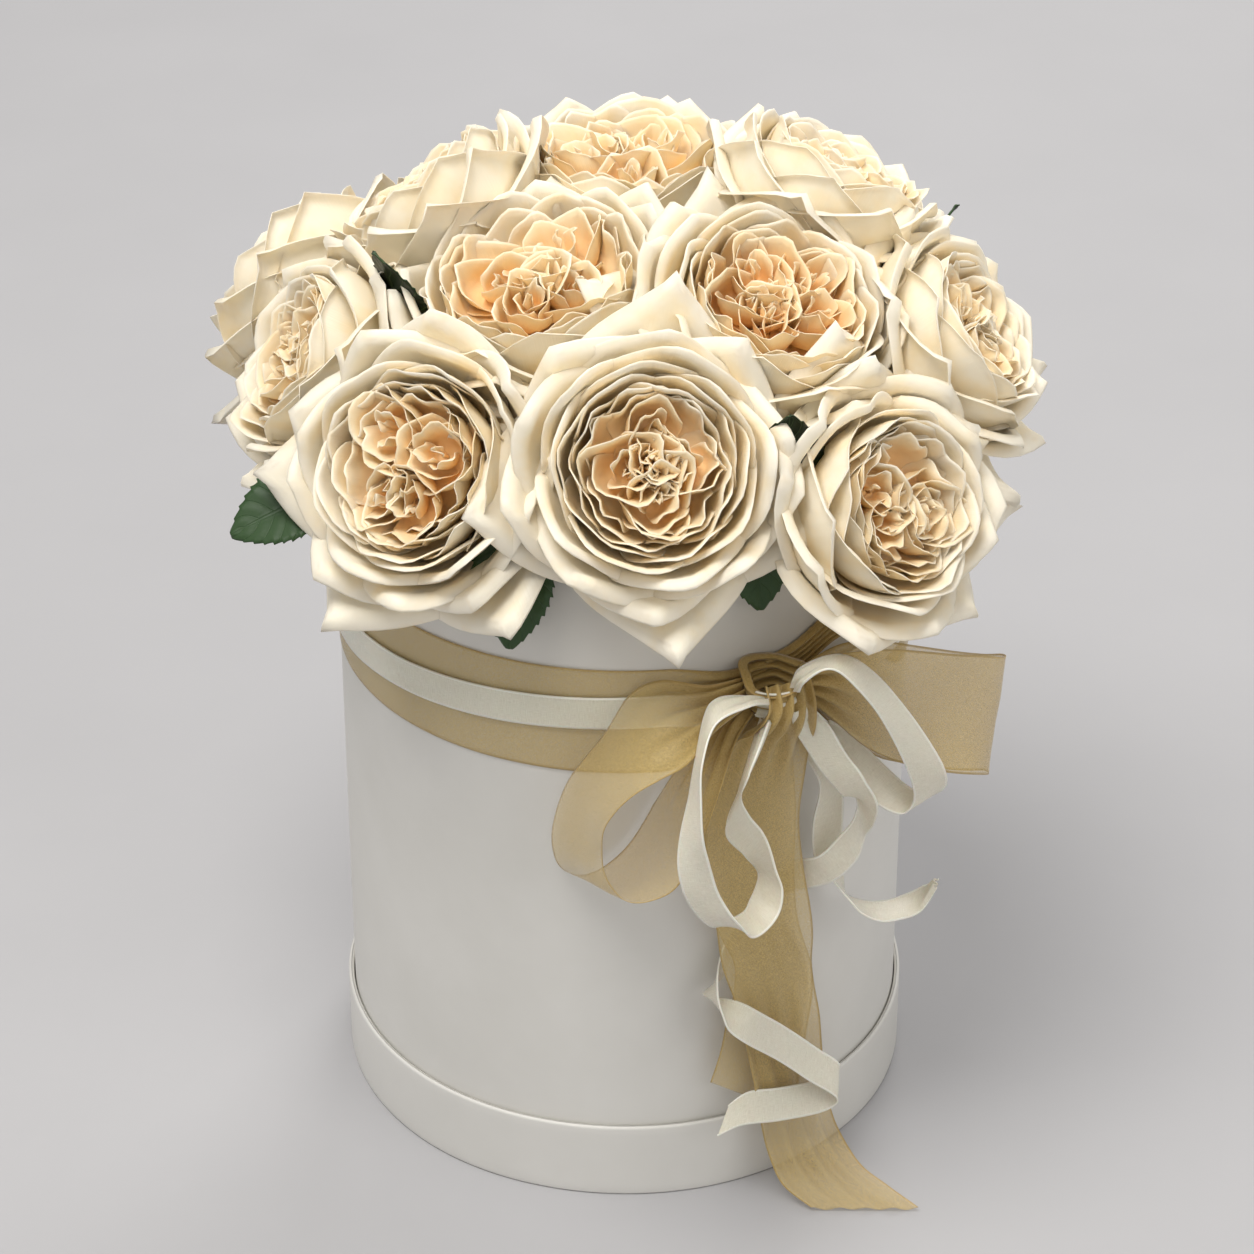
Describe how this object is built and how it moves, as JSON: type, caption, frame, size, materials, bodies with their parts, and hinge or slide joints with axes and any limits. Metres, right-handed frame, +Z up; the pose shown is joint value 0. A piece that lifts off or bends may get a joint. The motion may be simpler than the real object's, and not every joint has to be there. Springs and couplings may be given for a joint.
{
  "type": "flower box",
  "caption": "Round board hat box that stands in its upturned lid and holds cut garden roses in wet foam, tied with an organza and a satin ribbon in a bow.",
  "frame": {"origin": "centre of the upturned lid's underside, on the table", "axes": "+Z up along the box, -Y to the front, with the bow on the front right, +X to the right"},
  "size_m": [0.2897, 0.2843, 0.3578],
  "materials": {
    "lid_board": "white paper wrap over board, matt",
    "box_board": "white paper wrap over board, matt",
    "film": "clear waterproof film",
    "foam": "soaked green floral foam",
    "petal": "living petal, cream with a peach heart",
    "stem": "green cut stem, hip and sepals",
    "leaf": "dark green leaf with a satin face",
    "organza": "sheer gold organza with a woven edge",
    "satin": "cream satin ribbon"
  },
  "bodies": {
    "tray": {"lid_rim": "lid_board", "lid_panel": "lid_board"},
    "box": {"box_wall": "box_board", "box_base": "box_board", "organza_band": "organza", "organza_knot": "organza", "organza_loop_left": "organza", "organza_loop_right": "organza", "organza_tail_front": "organza", "organza_tail_back": "organza", "satin_band": "satin", "satin_knot": "satin", "satin_loop_left": "satin", "satin_loop_right": "satin", "satin_tail_long": "satin", "satin_tail_curl": "satin"},
    "insert": {"film_liner": "film", "foam_block": "foam", "rose_front_stem": "stem", "rose_front_left_stem": "stem", "rose_front_right_stem": "stem", "rose_left_stem": "stem", "rose_right_stem": "stem", "rose_centre_left_stem": "stem", "rose_centre_right_stem": "stem", "rose_top_stem": "stem", "rose_top_right_stem": "stem", "rose_top_left_stem": "stem", "rose_back_right_stem": "stem", "rose_rear_right_stem": "stem", "rose_rear_left_stem": "stem", "rose_back_left_stem": "stem", "rose_front_bloom": "petal", "rose_front_left_bloom": "petal", "rose_front_right_bloom": "petal", "rose_left_bloom": "petal", "rose_right_bloom": "petal", "rose_centre_left_bloom": "petal", "rose_centre_right_bloom": "petal", "rose_top_bloom": "petal", "rose_top_right_bloom": "petal", "rose_top_left_bloom": "petal", "rose_back_right_bloom": "petal", "rose_rear_right_bloom": "petal", "rose_rear_left_bloom": "petal", "rose_back_left_bloom": "petal", "leaf_high_left": "leaf", "leaf_high_front": "leaf", "leaf_low_left": "leaf", "leaf_high_right": "leaf", "leaf_low_front": "leaf", "leaf_low_front_right": "leaf", "leaf_low_right": "leaf", "leaf_low_rear": "leaf", "leaf_low_back_left": "leaf"}
  },
  "joints": [
    {"name": "box_lift", "type": "slide", "parent": "tray", "child": "box", "axis": [0, 0, 1], "range_m": [0, 0.045]},
    {"name": "insert_lift", "type": "slide", "parent": "box", "child": "insert", "axis": [0, 0, 1], "range_m": [0, 0.255]}
  ]
}
